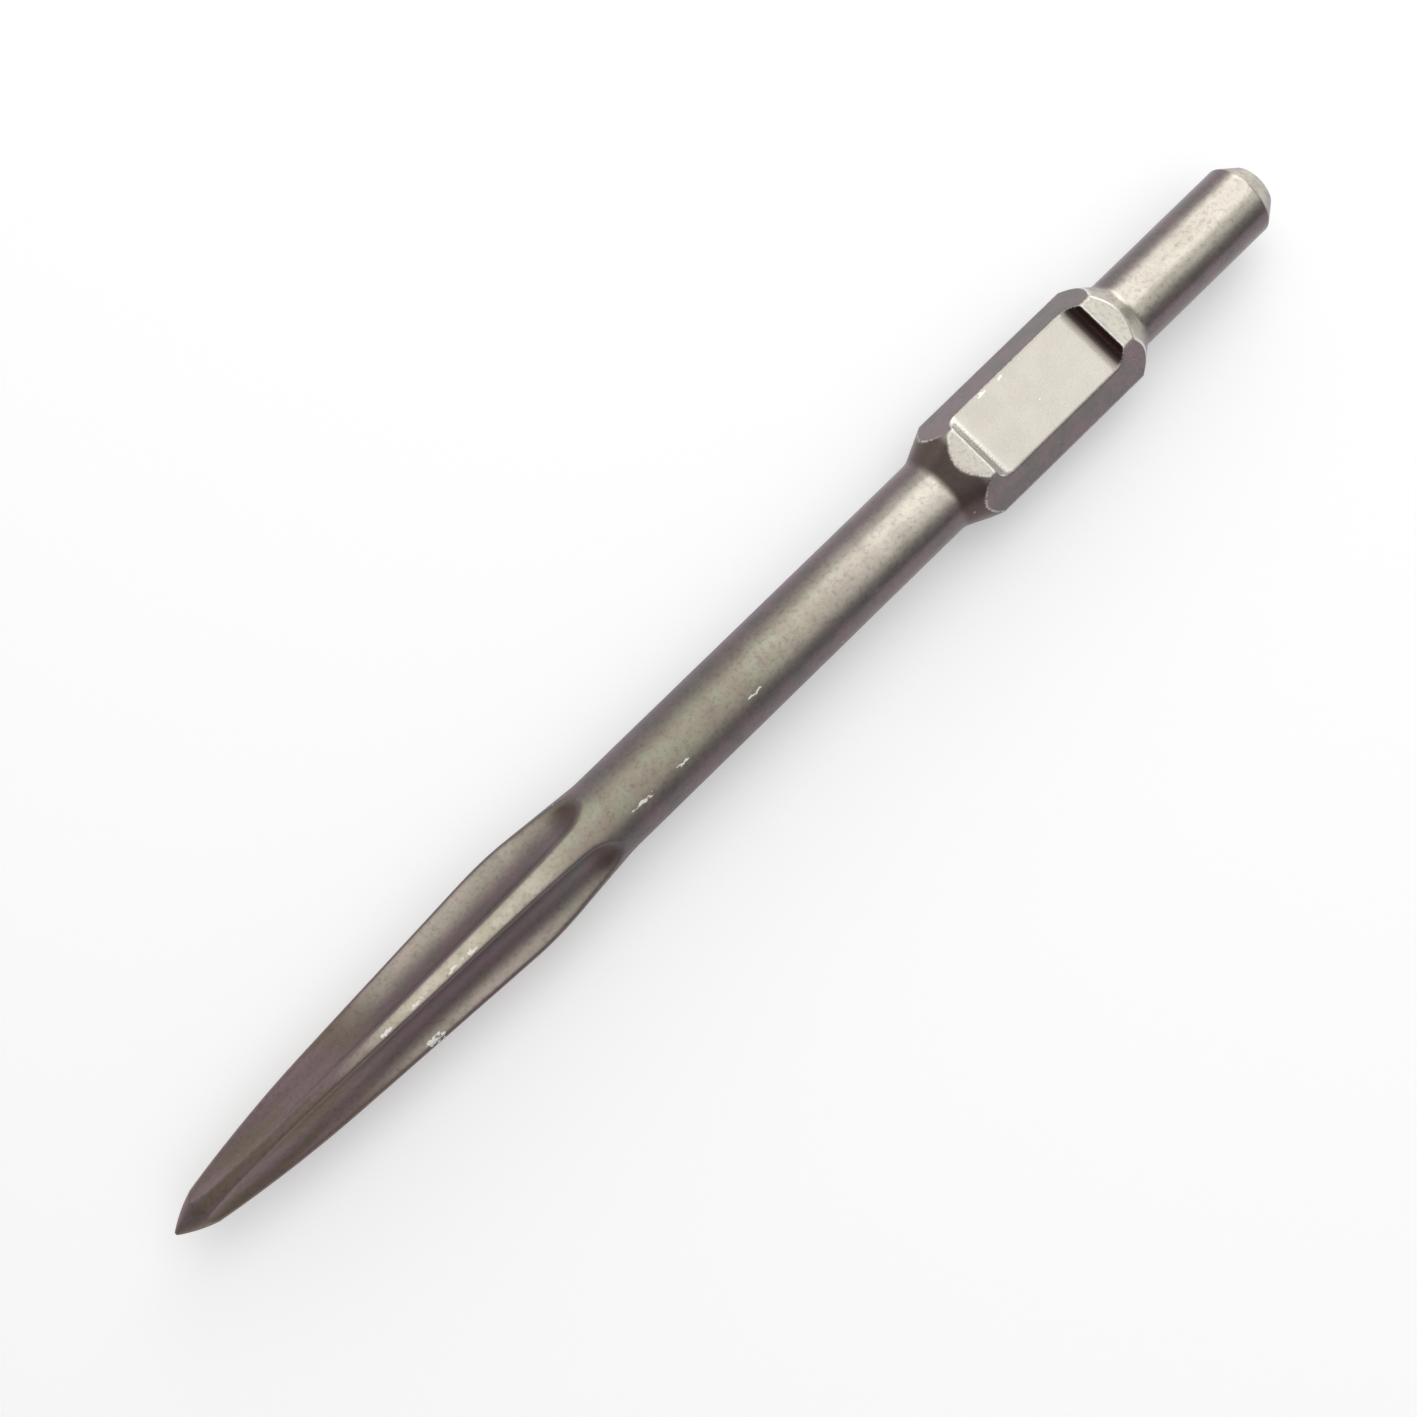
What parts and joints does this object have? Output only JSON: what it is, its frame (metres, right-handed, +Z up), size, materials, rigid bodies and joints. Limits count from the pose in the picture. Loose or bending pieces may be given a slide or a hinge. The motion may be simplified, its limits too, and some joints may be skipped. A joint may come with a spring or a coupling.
{
  "type": "pointed chisel",
  "caption": "Long steel chisel for a heavy breaker: ribbed and fluted point, round body, hexagon collar with a retainer notch, round struck tail.",
  "frame": {"origin": "under the middle of the length, on the surface that the chisel lies on", "axes": "+X along the chisel from the point to the struck tail, +Y across it, +Z up through the notched flat of the hexagon"},
  "size_m": [0.4, 0.0328, 0.0286],
  "materials": {
    "forged_steel": "satin blasted and heat-treated steel, darker and browner over the point, bare metal in the milled notch"
  },
  "bodies": {
    "root": {"pointed_chisel": "forged_steel"}
  },
  "joints": []
}
